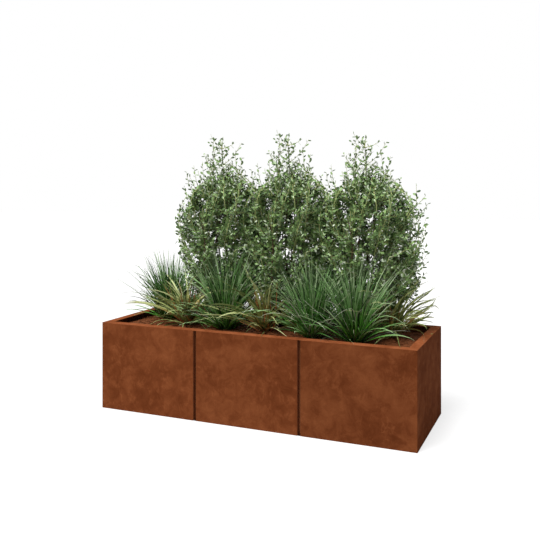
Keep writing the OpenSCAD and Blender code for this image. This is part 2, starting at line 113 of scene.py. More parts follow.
LENS = 47.746
SENSOR = 36.0
CAMERA_AT = Vector((1.959, -4.576, 1.551))
CAMERA_TURN = math.radians(23.13)
SHIFT_Y = -0.1533

camera_data = bpy.data.cameras.new("camera")
camera_data.sensor_fit = "AUTO"
camera_data.sensor_width = SENSOR
camera_data.lens = LENS
camera_data.shift_y = SHIFT_Y
camera = add_object("camera", camera_data)
camera.location = CAMERA_AT
camera.rotation_euler = (math.pi / 2, 0, CAMERA_TURN)
bpy.context.scene.camera = camera
bpy.context.view_layer.update()


def ray_through(x, y):
    """Direction from the camera through a point of the photograph's frame."""
    side = max(FRAME_W, FRAME_H)
    local = Vector((x - FRAME_W / 2, FRAME_H / 2 - y + SHIFT_Y * side, -side * LENS / SENSOR))
    return (camera.matrix_world.to_3x3() @ local).normalized()


def on_surface(point, carrier):
    """Where the ray through an image point meets the carrier, or comes nearest to it."""
    direction = ray_through(*POINTS[point])
    tree = BVHTree.FromObject(carrier, bpy.context.evaluated_depsgraph_get())
    place = tree.ray_cast(CAMERA_AT, direction)[0]
    if place is None:
        middle = sum((Vector(c) for c in carrier.bound_box), Vector()) / 8
        beside = CAMERA_AT + direction * (middle - CAMERA_AT).dot(direction)
        place = tree.find_nearest(beside)[0]
    return place


for name in ("front_left_top", "front_right_bottom", "back_right_top"):
    print(name, [round(v) for v in POINTS[name]])

# %% [markdown]
# ## Materials
# Weathering steel grows a closed coat of rust: matte, cloudy brown, with faint paler wisps
# and a fine grain that is only seen close by. One node group makes that pattern, and each
# steel finish places it with its own colours. It reads Object coordinates, and a Mapping
# node moves it for each wall, so that neighbouring panels don't share their clouds.

# %% Helpers for materials


def plug(tree, socket, value):
    """Feeds an input from another node's output, a colour or a plain number."""
    if isinstance(value, bpy.types.NodeSocket):
        tree.links.new(value, socket)
    else:
        socket.default_value = (*value, 1.0) if isinstance(value, tuple) else value


def add_node(tree, kind, **values):
    """A node of a kind, with its properties and its input values set by name."""
    node = tree.nodes.new(kind)
    for name, value in values.items():
        if hasattr(node, name):
            setattr(node, name, value)
        else:
            node.inputs[name.replace("_", " ").title()].default_value = value
    return node


def noise(tree, scale, detail, distortion=0.0, roughness=0.5, vector=None):
    """The value of a noise texture, over Object coordinates if no others are given."""
    node = add_node(tree, "ShaderNodeTexNoise", scale=scale, detail=detail,
                    distortion=distortion, roughness=roughness)
    tree.links.new(vector or object_coordinates(tree), node.inputs["Vector"])
    return node.outputs["Fac"]


def spread(tree, value, low, high, to_low=0.0, to_high=1.0):
    """A value stretched from low and high to a new range, and held inside it."""
    node = tree.nodes.new("ShaderNodeMapRange")
    ends = {"From Min": low, "From Max": high, "To Min": to_low, "To Max": to_high}
    for name, number in ends.items():
        node.inputs[name].default_value = number
    tree.links.new(value, node.inputs["Value"])
    return node.outputs["Result"]


def blend(tree, share, first, second):
    """Two colours mixed; each may be a socket or plain numbers."""
    node = add_node(tree, "ShaderNodeMix", data_type="RGBA")
    for index, value in ((0, share), (6, first), (7, second)):
        plug(tree, node.inputs[index], value)
    return node.outputs[2]


def maths(tree, operation, first, second=0.5):
    """One step of arithmetic on two values or sockets."""
    node = add_node(tree, "ShaderNodeMath", operation=operation)
    for socket, value in zip(node.inputs, (first, second)):
        plug(tree, socket, value)
    return node.outputs[0]


def cells(tree, scale):
    """A Voronoi texture over Object coordinates."""
    node = add_node(tree, "ShaderNodeTexVoronoi", scale=scale)
    tree.links.new(object_coordinates(tree), node.inputs["Vector"])
    return node


def object_coordinates(tree, offset=(0, 0, 0), turn=(0, 0, 0), scale=(1, 1, 1)):
    """Object coordinates, moved, turned and scaled."""
    source = tree.nodes.new("ShaderNodeTexCoord")
    mapping = tree.nodes.new("ShaderNodeMapping")
    for name, value in (("Location", offset), ("Rotation", turn), ("Scale", scale)):
        mapping.inputs[name].default_value = value
    tree.links.new(source.outputs["Object"], mapping.inputs["Vector"])
    return mapping.outputs["Vector"]


def new_material(name):
    """A material with its Principled shader, as material, tree and shader."""
    material = bpy.data.materials.new(name)
    material.use_nodes = True
    tree = material.node_tree
    return material, tree, tree.nodes["Principled BSDF"]


def srgb(r, g, b):
    """A colour given in 0 to 255 as the eye sees it, in the linear values that nodes use."""
    return tuple(((c / 255 + 0.055) / 1.055) ** 2.4 for c in (r, g, b))


def coat(tree, shader, colour, roughness, specular=0.5):
    """The shader's colour, roughness and gloss."""
    plug(tree, shader.inputs["Base Color"], colour)
    plug(tree, shader.inputs["Roughness"], roughness)
    shader.inputs["Specular IOR Level"].default_value = specular


def bump(tree, shader, height, strength, distance):
    """A bump of a height map on the shader's normal."""
    node = add_node(tree, "ShaderNodeBump", strength=strength, distance=distance)
    tree.links.new(height, node.inputs["Height"])
    tree.links.new(node.outputs["Normal"], shader.inputs["Normal"])


def own_tone(tree):
    """The tone that each leaf, twig, blade or chip carries, from 0 to 1."""
    return add_node(tree, "ShaderNodeAttribute", attribute_name="tone").outputs["Fac"]


# %% Rust pattern, shared by every steel finish


def rust_pattern():
    """Node group: vector in; cloud, wisp and grain masks out, each from 0 to 1."""
    group = bpy.data.node_groups.new("rust_pattern", "ShaderNodeTree")
    group.interface.new_socket("Vector", in_out="INPUT", socket_type="NodeSocketVector")
    for name in ("Clouds", "Wisps", "Grain"):
        group.interface.new_socket(name, in_out="OUTPUT", socket_type="NodeSocketFloat")
    vector = group.nodes.new("NodeGroupInput").outputs["Vector"]
    out = group.nodes.new("NodeGroupOutput")
    broad = noise(group, 3.0, 2.0, 0.8, vector=vector)
    mottle = noise(group, 13.0, 8.0, 0.5, 0.7, vector)
    broad_part = spread(group, broad, 0.32, 0.68, 0.0, 0.42)
    mottle_part = spread(group, mottle, 0.32, 0.68, 0.0, 0.58)
    clouds = maths(group, "ADD", broad_part, mottle_part)
    group.links.new(clouds, out.inputs["Clouds"])
    drawn = group.nodes.new("ShaderNodeMapping")
    drawn.inputs["Scale"].default_value = (3.6, 3.6, 1.7)
    drawn.inputs["Rotation"].default_value = (0.0, 0.9, 0.0)
    group.links.new(vector, drawn.inputs["Vector"])
    folds = noise(group, 1.5, 4.0, 2.2, 0.6, drawn.outputs["Vector"])
    edge = maths(group, "ABSOLUTE", maths(group, "SUBTRACT", folds, 0.5))
    cloudy = spread(group, mottle, 0.42, 0.62)
    wisps = maths(group, "MULTIPLY", spread(group, edge, 0.035, 0.0), cloudy)
    group.links.new(wisps, out.inputs["Wisps"])
    grain = noise(group, 110.0, 6.0, 0.3, 0.75, vector)
    group.links.new(spread(group, grain, 0.3, 0.7), out.inputs["Grain"])
    return group


RUST = rust_pattern()


def rust_finish(name, browns, offset=(0, 0, 0), turn=0.0, face_at=None, shadowed_below=None):
    """Rusted steel: three browns over the clouds, pale wisps, and grain in colour and bump.
    Behind face_at, in the joint recesses, it is painted a paler orange rust: painted light that
    lifts their shade. Towards its foot, below the given height, it is darkened to a dark brown: a
    painted shadow."""
    dark, middle, pale = browns
    material, tree, shader = new_material(name)
    pattern = tree.nodes.new("ShaderNodeGroup")
    pattern.node_tree = RUST
    tree.links.new(object_coordinates(tree, offset, (0, 0, turn)), pattern.inputs["Vector"])
    clouds, wisps, grain = pattern.outputs
    colour = blend(tree, spread(tree, clouds, 0.12, 0.5), dark, middle)
    colour = blend(tree, spread(tree, clouds, 0.45, 0.95), colour, pale)
    colour = blend(tree, maths(tree, "MULTIPLY", wisps, 0.8), colour, pale)
    colour = blend(tree, spread(tree, grain, 0.0, 1.0, 0.0, 0.3), colour, dark)
    parts = tree.nodes.new("ShaderNodeSeparateXYZ")
    tree.links.new(object_coordinates(tree), parts.inputs[0])
    if shadowed_below:
        # Painted shadow: the colour darkens to a dark brown at the very foot.
        foot_shadow = spread(tree, parts.outputs["Z"], shadowed_below + 0.001, shadowed_below)
        colour = blend(tree, foot_shadow, colour, FOOT_PAINTED_SHADOW)
    if face_at:
        depth = maths(tree, "ABSOLUTE", parts.outputs["Y"])
        # Painted light: behind the wall's face, in the joint recesses, a paler orange rust lifts
        # their shade.
        lit_recess = spread(tree, depth, face_at - 0.001, face_at - 0.003)
        colour = blend(tree, lit_recess, colour, RECESS_RUST_PAINTED_LIGHT)
    coat(tree, shader, colour, spread(tree, clouds, 0.0, 1.0, 0.98, 0.86), 0.02)
    bump(tree, shader, grain, 0.25, 0.0008)
    return material


# Painted light: a paler orange rust for the joint recesses and channels, which lifts their shade.
RECESS_RUST_PAINTED_LIGHT = srgb(137, 85, 56)
# Painted shadow: a dark brown for the foot of the joint channels.
FOOT_PAINTED_SHADOW = srgb(62, 32, 18)
WALL_BROWNS = np.array([srgb(98, 49, 24), srgb(115, 61, 33), srgb(138, 79, 46)])
# Painted light: the rim's browns are a little paler than the walls', for its top lit from above.
RIM_BROWNS_PAINTED_LIGHT = srgb(104, 54, 28), srgb(122, 67, 38), srgb(144, 84, 52)
INNER_BROWNS = srgb(58, 30, 18), srgb(76, 40, 24), srgb(96, 54, 32)
# Painted light: the joint channels' browns are paler still, lifting the shade deep in the joints.
CHANNEL_BROWNS_PAINTED_LIGHT = srgb(136, 80, 50), RECESS_RUST_PAINTED_LIGHT, srgb(156, 98, 64)
# Painted shade: deeper browns for the middle and right front panels and the right end, so that the
# walls darken towards the right.
PAINTED_SHADE_TOWARDS_RIGHT = {"front_panel_middle": 0.93, "front_panel_right": 0.83, "end_panel_right": 0.86}

# %% Put the rust on the walls, the rim and the inner steel


def give(material, *starts):
    """Puts a material on the CAD nodes whose names start in one of these ways, in place of
    the plain one that they come with."""
    for name in nodes:
        if name.startswith(starts):
            mesh = nodes[name].data
            mesh.materials.clear()
            mesh.materials.append(material)


walls = [n for n in nodes if "_panel_" in n]
wall_face = -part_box("front_panel_left")[0].y
for i, name in enumerate(sorted(walls)):
    offset = (i * 3.7, i * 1.9, i * 2.3)
    # Front and back walls get painted light in their joint recesses.
    jointed = wall_face if name.startswith(("front", "back")) else None
    # Painted shade: some walls get deeper browns, darker towards the right.
    browns = [tuple(brown) for brown in WALL_BROWNS * PAINTED_SHADE_TOWARDS_RIGHT.get(name, 1.0)]
    give(rust_finish(f"rust_{name}", browns, offset, face_at=jointed), name)

give(rust_finish("rust_rim", RIM_BROWNS_PAINTED_LIGHT, (9.1, 4.2, 0.6), 0.5),
     "rim_front", "rim_back", "rim_left", "rim_right")
give(rust_finish("rust_inside", INNER_BROWNS, (2.0, 7.0, 5.0)),
     "corner_post_", "cross_tie_", "rail_", "bearer_", "floor_tray_")
# The joint channels: paler browns as painted light, with a painted shadow at their foot.
give(rust_finish("rust_channel", CHANNEL_BROWNS_PAINTED_LIGHT, (4.0, 1.0, 8.0), shadowed_below=0.004),
     "joint_channel_")
print("walls with a rust finish:", len(walls))

# %% [markdown]
# The small hardware is zinc-plated and the drains are black plastic. Some layers of the
# filling are only seen when the trough is taken apart: clay pellets, fleece and soil.

# %% Hardware, drains and filling


def zinc_finish():
    """Dull zinc plating with the faint spangle of its crystals."""
    material, tree, shader = new_material("zinc_plating")
    spangle = spread(tree, cells(tree, 320.0).outputs["Distance"], 0.0, 1.0)
    colour = blend(tree, spangle, srgb(176, 178, 180), srgb(146, 149, 152))
    coat(tree, shader, colour, spread(tree, spangle, 0, 1, 0.34, 0.5))
    shader.inputs["Metallic"].default_value = 1.0
    return material


def moulded_plastic():
    """Black polypropylene with the fine grain of its mould."""
    material, tree, shader = new_material("drain_plastic")
    grain = noise(tree, 900.0, 2.0)
    colour = blend(tree, grain, srgb(26, 26, 27), srgb(40, 40, 41))
    coat(tree, shader, colour, spread(tree, grain, 0.2, 0.8, 0.42, 0.6))
    bump(tree, shader, grain, 0.2, 0.0003)
    return material


def clay_pellets():
    """Expanded clay: round pellets of 8 to 16 mm, each of its own brown, with painted shade
    between them.
    """
    material, tree, shader = new_material("clay_pellets")
    pellets = cells(tree, 80.0)
    distance = pellets.outputs["Distance"]
    own = tree.nodes.new("ShaderNodeSeparateColor")
    tree.links.new(pellets.outputs["Color"], own.inputs[0])
    colour = blend(tree, own.outputs[0], srgb(120, 72, 50), srgb(168, 112, 82))
    # Painted shade: dark brown between the pellets.
    gaps = spread(tree, distance, 0.35, 0.7)
    colour = blend(tree, gaps, colour, srgb(40, 26, 20))
    coat(tree, shader, colour, 0.9)
    bump(tree, shader, maths(tree, "SUBTRACT", 1.0, distance), 0.9, 0.006)
    return material


def fibre_fleece():
    """Needle-felted fleece: pale, with short fibres lying all ways."""
    material, tree, shader = new_material("fibre_fleece")
    stretched = object_coordinates(tree, scale=(3, 1, 1))
    fibres = noise(tree, 240.0, 5.0, 2.5, 0.7, stretched)
    colour = blend(tree, fibres, srgb(176, 176, 168), srgb(226, 226, 220))
    coat(tree, shader, colour, 0.95)
    bump(tree, shader, fibres, 0.6, 0.001)
    return material


def planting_soil():
    """Dark crumbly planting mix."""
    material, tree, shader = new_material("planting_soil")
    crumbs = noise(tree, 120.0, 8.0, 0.4, 0.7)
    shown = spread(tree, crumbs, 0.35, 0.65)
    colour = blend(tree, shown, srgb(24, 16, 11), srgb(66, 46, 32))
    coat(tree, shader, colour, 0.95)
    bump(tree, shader, crumbs, 1.0, 0.006)
    return material


SOIL = planting_soil()
give(zinc_finish(), "foot_", "frame_studs", "rim_studs")
give(moulded_plastic(), "drain_")
give(clay_pellets(), "drainage_layer")
give(fibre_fleece(), "filter_fleece")
give(SOIL, "substrate")

# %% [markdown]
# ## Modelling helpers
# Operators act on all that is selected, so each step starts with nothing selected.

# %% Helpers for pieces
GOLDEN_TURN = 2.4
ROUND = 2 * math.pi


def deselect():
    """Nothing selected and object mode on."""
    if bpy.context.object and bpy.context.object.mode != "OBJECT":
        bpy.ops.object.mode_set(mode="OBJECT")
    bpy.ops.object.select_all(action="DESELECT")


def select_only(*pieces):
    """These pieces selected, with the first one active."""
    deselect()
    for piece in pieces:
        piece.select_set(True)
    bpy.context.view_layer.objects.active = pieces[0]


def switch(mode):
    """Object mode or edit mode for the active piece."""
    bpy.ops.object.mode_set(mode=mode)


def pick(piece, parts, test):
    """In edit mode, selects only those points or faces of a piece that pass a test."""
    bpy.ops.mesh.select_all(action="DESELECT")
    switch("OBJECT")
    for part in getattr(piece.data, parts):
        part.select = test(part)
    switch("EDIT")


def settle(piece, name):
    """Names a piece and puts its place into its mesh."""
    select_only(piece)
    bpy.ops.object.transform_apply(location=True, rotation=True, scale=True)
    piece.name = piece.data.name = name
    return piece


def join(name, pieces):
    """Several pieces as one mesh, which keeps each one's materials."""
    select_only(*pieces)
    bpy.ops.object.join()
    return settle(bpy.context.object, name)


def set_tones(mesh, tones):
    """Gives each face its tone, which the plants' and the bark's materials read."""
    layer = mesh.attributes.new("tone", "FLOAT", "FACE")
    layer.data.foreach_set("value", np.broadcast_to(tones, len(mesh.polygons)).astype(np.float32))


def mesh_piece(name, points, faces, material, tones):
    """A mesh from arrays of points and faces of one size, with a tone for each face."""
    mesh = bpy.data.meshes.new(name)
    corners = faces.shape[1]
    mesh.vertices.add(len(points))
    mesh.vertices.foreach_set("co", points.astype(np.float32).ravel())
    mesh.loops.add(faces.size)
    mesh.loops.foreach_set("vertex_index", faces.astype(np.int32).ravel())
    mesh.polygons.add(len(faces))
    mesh.polygons.foreach_set("loop_start", np.arange(len(faces), dtype=np.int32) * corners)
    mesh.update(calc_edges=True)
    set_tones(mesh, tones)
    mesh.materials.append(material)
    return add_object(name, mesh)


def points_of(piece):
    """A piece's points, as an array."""
    return np.array([vertex.co for vertex in piece.data.vertices])


def stamp_copies(name, stamp, material, places, rights, forwards, ups, sizes, tones):
    """Copies of a small mesh, each at its place, in its own axes and size."""
    local = points_of(stamp)
    faces = np.array([p.vertices for p in stamp.data.polygons])
    axes = np.stack([rights, forwards, ups], axis=1) * sizes[:, None, None]
    points = places[:, None, :] + np.einsum("vk,nkj->nvj", local, axes)
    copies = faces[None] + np.arange(len(places))[:, None, None] * len(local)
    return mesh_piece(name, points.reshape(-1, 3), copies.reshape(-1, faces.shape[1]), material,
                      np.repeat(tones, len(faces)))


def unit(vectors):
    """Vectors made one long."""
    return vectors / np.maximum(np.linalg.norm(vectors, axis=-1, keepdims=True), 1e-9)


def columns(*values):
    """Points or directions from their x, y and z, each an array or one number for all."""
    return np.stack(np.broadcast_arrays(*values), -1)


def plant_foot(node):
    """The middle of the lowest ring of a plant's CAD solid: the axis that it grows on."""
    points = points_of(nodes[node])
    ring = points[points[:, 2] < points[:, 2].min() + 0.001]
    return Vector((ring.min(axis=0) + ring.max(axis=0))[:2] / 2)


MULCH_LOW, MULCH_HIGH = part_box("mulch")
MULCH_TOP = MULCH_HIGH.z
MULCH_FOOT = MULCH_LOW.z - MULCH_TOP
print("mulch top at", round(MULCH_TOP, 3))

# %% [markdown]
# ## Bark mulch
# Mulch is a loose heap of bark chips, so a flat brown face would look false even from far
# away. Its ground is a fine grid that two Displace modifiers roughen, and on it lie some
# thousands of chips. One chip is modelled from a cube: stretched, tapered at one end, made
# ragged, and then copied at random turns.

# %% Bark material


def bark_finish():
    """Reddish-brown bark, in darker and paler chips, with painted shade, near black, in the
    hollows of its fine bump.
    """
    material, tree, shader = new_material("bark")
    fibre = noise(tree, 150.0, 5.0, 0.8, 0.65)
    colour = blend(tree, own_tone(tree), srgb(88, 51, 30), srgb(122, 72, 44))
    # Painted shade: near black where the fibre bump is low.
    colour = blend(tree, spread(tree, fibre, 0.35, 0.6, 0.3, 0.0), colour, srgb(26, 14, 9))
    coat(tree, shader, colour, spread(tree, fibre, 0.3, 0.7, 0.92, 0.74), 0.04)
    bump(tree, shader, fibre, 0.7, 0.002)
    return material


BARK = bark_finish()

# %% Ground of the mulch
EDGE_SINKS = 0.014
UPRIGHTS = [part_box(n) for n in nodes if n.startswith(("joint_channel_", "corner_post_"))]


def in_upright(place, gap=0.008):
    """Whether a place is between a wall and the inner side of an upright on it."""
    return any(low.x - gap < place.x < high.x + gap
               and (place.y < high.y + gap if low.y < 0 else place.y > low.y - gap)
               for low, high in UPRIGHTS)


def mulch_ground():
    """The mulch's own surface: a grid over a closed block, roughened by two noises."""
    low, high = MULCH_LOW, MULCH_HIGH
    deselect()
    bpy.ops.mesh.primitive_grid_add(x_subdivisions=260, y_subdivisions=94, size=1)
    ground = bpy.context.object
    ground.scale = (high.x - low.x, high.y - low.y, 1)
    ground.location = ((low.x + high.x) / 2, (low.y + high.y) / 2, high.z)
    settle(ground, "mulch_ground")
    for kind, scale, strength in (("heaps", 0.09, 0.009), ("crumbs", 0.014, 0.006)):
        texture = bpy.data.textures.new(kind, "CLOUDS")
        texture.noise_scale = scale
        texture.noise_depth = 3
        modifier = ground.modifiers.new(kind, "DISPLACE")
        modifier.texture = texture
        modifier.texture_coords = "LOCAL"
        modifier.direction = "Z"
        modifier.mid_level = 0.45
        modifier.strength = strength
        bpy.ops.object.modifier_apply(modifier=kind)
    for vertex in ground.data.vertices:
        x, y = vertex.co.xy
        edge_gap = min(x - low.x, high.x - x, y - low.y, high.y - y)
        vertex.co.z -= EDGE_SINKS * max(0.0, 1 - edge_gap / 0.09) ** 1.5
    select_only(ground)
    switch("EDIT")
    bpy.ops.mesh.select_mode(type="FACE")
    pick(ground, "polygons", lambda face: in_upright(face.center))
    bpy.ops.mesh.delete(type="FACE")
    bpy.ops.mesh.select_all(action="SELECT")
    bpy.ops.mesh.region_to_loop()
    bpy.ops.mesh.extrude_region_move(TRANSFORM_OT_translate={"value": (0, 0, low.z - high.z)})
    bpy.ops.transform.resize(value=(1, 1, 0), center_override=(0, 0, low.z))
    bpy.ops.mesh.edge_face_add()
    switch("OBJECT")
    ground.data.materials.append(BARK)
    set_tones(ground.data, 0.5)
    return ground


# %% Bark chips
CHIPS = 2900
CHIP_LENGTHS = 0.008, 0.026


def chip_stamp():
    """One chip of bark, one unit long: a flat bar with a ragged taper."""
    deselect()
    bpy.ops.mesh.primitive_cube_add(size=1)
    chip = bpy.context.object
    switch("EDIT")
    bpy.ops.transform.resize(value=(0.34, 1.0, 0.08))
    bpy.ops.mesh.subdivide(number_cuts=1)
    pick(chip, "vertices", lambda vertex: vertex.co.y > 0.4)
    bpy.ops.transform.resize(value=(0.35, 1.0, 0.5), center_override=(0.05, 0.5, -0.05))
    bpy.ops.mesh.select_all(action="SELECT")
    bpy.ops.transform.vertex_random(offset=0.05, seed=3)
    switch("OBJECT")
    return chip


def lay_chips(count, seed):
    """Chips over the mulch, lying at small tilts and every turn."""
    low, high = MULCH_LOW, MULCH_HIGH
    rng = np.random.default_rng(seed)
    turn = rng.uniform(0, ROUND, count)
    forwards = unit(columns(np.cos(turn), np.sin(turn), rng.normal(0, 0.12, count)))
    ups = columns(rng.normal(0, 0.15, count), rng.normal(0, 0.15, count), 1.0)
    rights = unit(np.cross(forwards, ups))
    ups = np.cross(rights, forwards)
    places = columns(rng.uniform(low.x + 0.02, high.x - 0.02, count),
                     rng.uniform(low.y + 0.02, high.y - 0.02, count),
                     high.z + rng.uniform(0.0, 0.004, count))
    sizes = rng.uniform(*CHIP_LENGTHS, count)
    chip = chip_stamp()
    chips = stamp_copies("bark_chips", chip, BARK, places, rights, forwards, ups, sizes,
                         rng.uniform(0, 1, count) ** 1.3)
    bpy.data.objects.remove(chip)
    return chips


mulch = join("mulch_bed", [mulch_ground(), lay_chips(CHIPS, seed=11)])
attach(mulch, "trough")
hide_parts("mulch")
print("mulch faces", len(mulch.data.polygons))

# %% [markdown]
# ## Shrubs
# The three shrubs are the same plant: stems that fan up from the ground, side twigs, and
# small oval leaves set along them. It can't be modelled leaf by leaf, and a block with leaf
# bumps would show no sky between its leaves. So one leaf is modelled, the twigs are drawn as
# curves inside the crown's outline, and a copy of the leaf is set at each step along them.

# %% Leaf and twig materials


def leaf_finish(name, deep, fresh, painted_highlight, rough):
    """Leaf: deep to fresh green by each leaf's tone, with a silvery painted highlight on the
    palest-toned leaves, and a soft shine.
    """
    material, tree, shader = new_material(name)
    tone = own_tone(tree)
    colour = blend(tree, spread(tree, tone, 0.0, 0.72), deep, fresh)
    # Painted highlight: the palest-toned leaves turn silvery pale.
    colour = blend(tree, spread(tree, tone, 0.8, 1.0, 0.0, 0.85), colour, painted_highlight)
    patches = noise(tree, 60.0, 3.0)
    colour = blend(tree, spread(tree, patches, 0.35, 0.65, 0.0, 0.35), colour, deep)
    coat(tree, shader, colour, spread(tree, patches, 0.3, 0.7, rough, rough + 0.15), 0.4)
    return material


def twig_finish(name, low, high):
    """Twig bark between two colours, by its tone, with fine lengthwise marks."""
    material, tree, shader = new_material(name)
    tone = maths(tree, "MULTIPLY", own_tone(tree), 0.7)
    marks = noise(tree, 300.0, 3.0, vector=object_coordinates(tree, scale=(1, 1, 0.2)))
    share = maths(tree, "ADD", tone, maths(tree, "MULTIPLY", marks, 0.3))
    coat(tree, shader, blend(tree, share, low, high), 0.7)
    bump(tree, shader, marks, 0.4, 0.0008)
    return material


# The third colour is the leaves' painted highlight.
LEAF = leaf_finish("shrub_leaf", srgb(38, 66, 32), srgb(138, 170, 102), srgb(212, 220, 200),
                   0.34)
TWIG = twig_finish("shrub_twig", srgb(100, 96, 56), srgb(204, 212, 140))
STEM = twig_finish("shrub_stem", srgb(58, 36, 24), srgb(104, 74, 48))

# %% One leaf


def leaf_stamp(width):
    """An oval leaf, one unit long, folded a little along its midrib."""
    deselect()
    bpy.ops.mesh.primitive_circle_add(vertices=6, radius=0.5, fill_type="NGON",
                                      location=(0, 0.5, 0))
    leaf = settle(bpy.context.object, "leaf_stamp")
    switch("EDIT")
    bpy.ops.transform.resize(value=(width, 1, 1), center_override=(0, 0.5, 0))
    pick(leaf, "vertices", lambda vertex: abs(vertex.co.x) < 1e-4)
    bpy.ops.mesh.vert_connect_path()
    bpy.ops.mesh.select_all(action="INVERT")
    bpy.ops.transform.translate(value=(0, 0, 0.09))
    switch("OBJECT")
    return leaf


# %% [markdown]
# The crown's outline is a list of heights and radii. Sprigs stand out of it, as they do in
# the photograph; they are given as places beside and above the shrub's foot.

# %% Shape of the crown
CROWN = np.array([(0.05, 0.06), (0.14, 0.17), (0.24, 0.27), (0.34, 0.33), (0.44, 0.355),
                  (0.56, 0.365), (0.70, 0.36), (0.84, 0.34), (0.92, 0.30), (0.98, 0.23),
                  (1.04, 0.145), (1.10, 0.07), (1.16, 0.03)])
CROWN_SIDE = 0.07
CROWN_DEEP = 0.86
LEADERS_TALL = 1.30, 1.26
CLUSTERED = 0.66
SHOOTS_DEEP = 0.80
SPRIGS = [(-0.034, 1.338), (0.037, 1.332), (0.0, 1.320), (0.137, 1.29), (0.17, 1.288),
          (-0.125, 1.215), (0.15, 1.195), (0.216, 1.185), (-0.22, 1.13), (-0.268, 0.965),
          (-0.30, 0.86), (-0.325, 0.76), (-0.325, 0.55), (0.376, 0.998), (0.436, 0.924),
          (0.45, 0.87), (0.43, 0.823), (0.44, 0.78), (0.455, 0.735), (0.447, 0.675),
          (0.45, 0.614), (0.45, 0.55), (0.455, 0.496), (0.44, 0.419)]


def crown_radius(height):
    """Mean radius of the crown at a height."""
    return np.interp(height, CROWN[:, 0], CROWN[:, 1])


def crown_reach(height, angle):
    """Radius of the crown at a height and angle, with soft lobes."""
    broad = 0.10 * np.sin(3 * angle + 1.0 + 4 * height)
    fine = 0.07 * np.sin(5 * angle + 2.6 - 9 * height)
    return crown_radius(height) * (1 + broad + fine)


def spiral(rng, count, stray=0.3):
    """Angles that go round by the golden turn, each a little off."""
    return np.arange(count) * GOLDEN_TURN + rng.normal(0, stray, count)


def around(radius, angle, height, side=0.0, deep=1.0):
    """Points about a plant's axis, moved sideways and made less deep from front to back."""
    return columns(radius * np.cos(angle) + side, deep * radius * np.sin(angle), height)


def bowed(start, middle, end, steps):
    """Paths of (count, steps, 3) points, which bow from each start towards its middle point
    and on to its end."""
    t = np.linspace(0, 1, steps)[None, :, None]
    bow = 2 * t * (1 - t) * middle[:, None]
    return (1 - t) ** 2 * start[:, None] + bow + t ** 2 * end[:, None]


def nearest(points, others):
    """For each point, the index of the nearest of the others."""
    return ((points[:, None] - others[None]) ** 2).sum(-1).argmin(1)


def along(paths, shares):
    """Places and directions at shares of each path's length."""
    steps = paths.shape[1] - 1
    at = np.clip(shares, 0, 0.9999) * steps
    low = at.astype(int)
    part = (at - low)[..., None]
    index = np.arange(len(paths))[:, None]
    first, second = paths[index, low], paths[index, low + 1]
    return first + (second - first) * part, unit(second - first)


def main_stems(rng, count):
    """Stems that fan from the foot, the first two as upright leaders, as paths."""
    angle = spiral(rng, count, 0.2)
    angle[:2] = 0.1, 2.9
    reach = np.concatenate([[0.008, 0.008], rng.uniform(0.10, 0.26, count - 2)])
    tall = np.concatenate([LEADERS_TALL, rng.uniform(0.7, 1.0, count - 2)])
    t = np.linspace(0, 1, 12)[None, :]
    out = 0.02 + reach[:, None] * t ** 0.8
    sway = 0.012 * np.sin(t * 9 + angle[:, None] * 3)
    x = out * np.cos(angle)[:, None] + sway + CROWN_SIDE * t * (reach > 0.1)[:, None]
    y = out * np.sin(angle)[:, None] + sway
    return columns(x, y, tall[:, None] * t - 0.05)


def side_branches(rng, stems, count):
    """Branches that leave the stems and rise to the crown's outside, as paths."""
    height = rng.uniform(0.30, 1.05, count)
    angle = spiral(rng, count)
    radius = crown_reach(height, angle) * rng.uniform(0.75, 1.0, count)
    ends = around(radius, angle, height, CROWN_SIDE, CROWN_DEEP)
    low = ends * [0.35, 0.35, 1] - columns(0, 0, rng.uniform(0.16, 0.34, count))
    places = stems.reshape(-1, 3)
    start = places[nearest(low, places)]
    middle = (start + ends) / 2 + (ends - start) * [0.16, 0.16, 0] - [0, 0, 0.02]
    return bowed(start, middle, ends, 8)


def upright_shoots(rng, count):
    """Thin shoots that stand up out of the crown's shoulders, as paths."""
    angle = spiral(rng, count)
    radius = 0.27 * np.sqrt(np.linspace(0.08, 1, count))
    foot = around(0.8 * radius, angle, 0.90, CROWN_SIDE * 0.5)
    level = 1.22 - 0.6 * radius + rng.uniform(-0.09, 0.02, count)
    top = around(radius, angle, level, CROWN_SIDE * 0.4)
    t = np.linspace(0, 1, 5)[None, :, None]
    return foot[:, None] + (top - foot)[:, None] * t + rng.normal(0, 0.006, (count, 5, 3)) * t


def outer_shoots(rng, count):
    """Long shoots that climb over the crown's outside, as paths."""
    height = rng.uniform(0.36, 0.84, count)
    angle = spiral(rng, count)
    climb = rng.uniform(0.2, 0.36, count)
    t = np.linspace(0, 1, 6)[None, :]
    level = height[:, None] + climb[:, None] * t
    turn = angle[:, None] + rng.normal(0, 0.22, count)[:, None] * t
    radius = crown_reach(level, turn) * (0.72 + 0.27 * t ** 0.7)
    return around(radius, turn, level, CROWN_SIDE, SHOOTS_DEEP)


def twig_curves(rng, branches, tips, drop, stray):
    """Curved twigs from the nearest fitting branch point up and out to each tip."""
    places = np.concatenate([branch[:, 2:].reshape(-1, 3) for branch in branches])
    goal = tips * [0.8, 0.8, 1] - [0, 0, drop] + rng.normal(0, stray, tips.shape)
    start = np.concatenate([places[nearest(goal[i:i + 64], places)]
                            for i in range(0, len(tips), 64)])
    sag = np.linalg.norm(tips - start, axis=1)[:, None] * [0, 0, 0.12]
    middle = (start + tips) / 2 + (tips - start) * [0.12, 0.12, 0] - sag
    middle += rng.normal(0, 0.006, middle.shape)
    return bowed(start, middle, tips, 5)


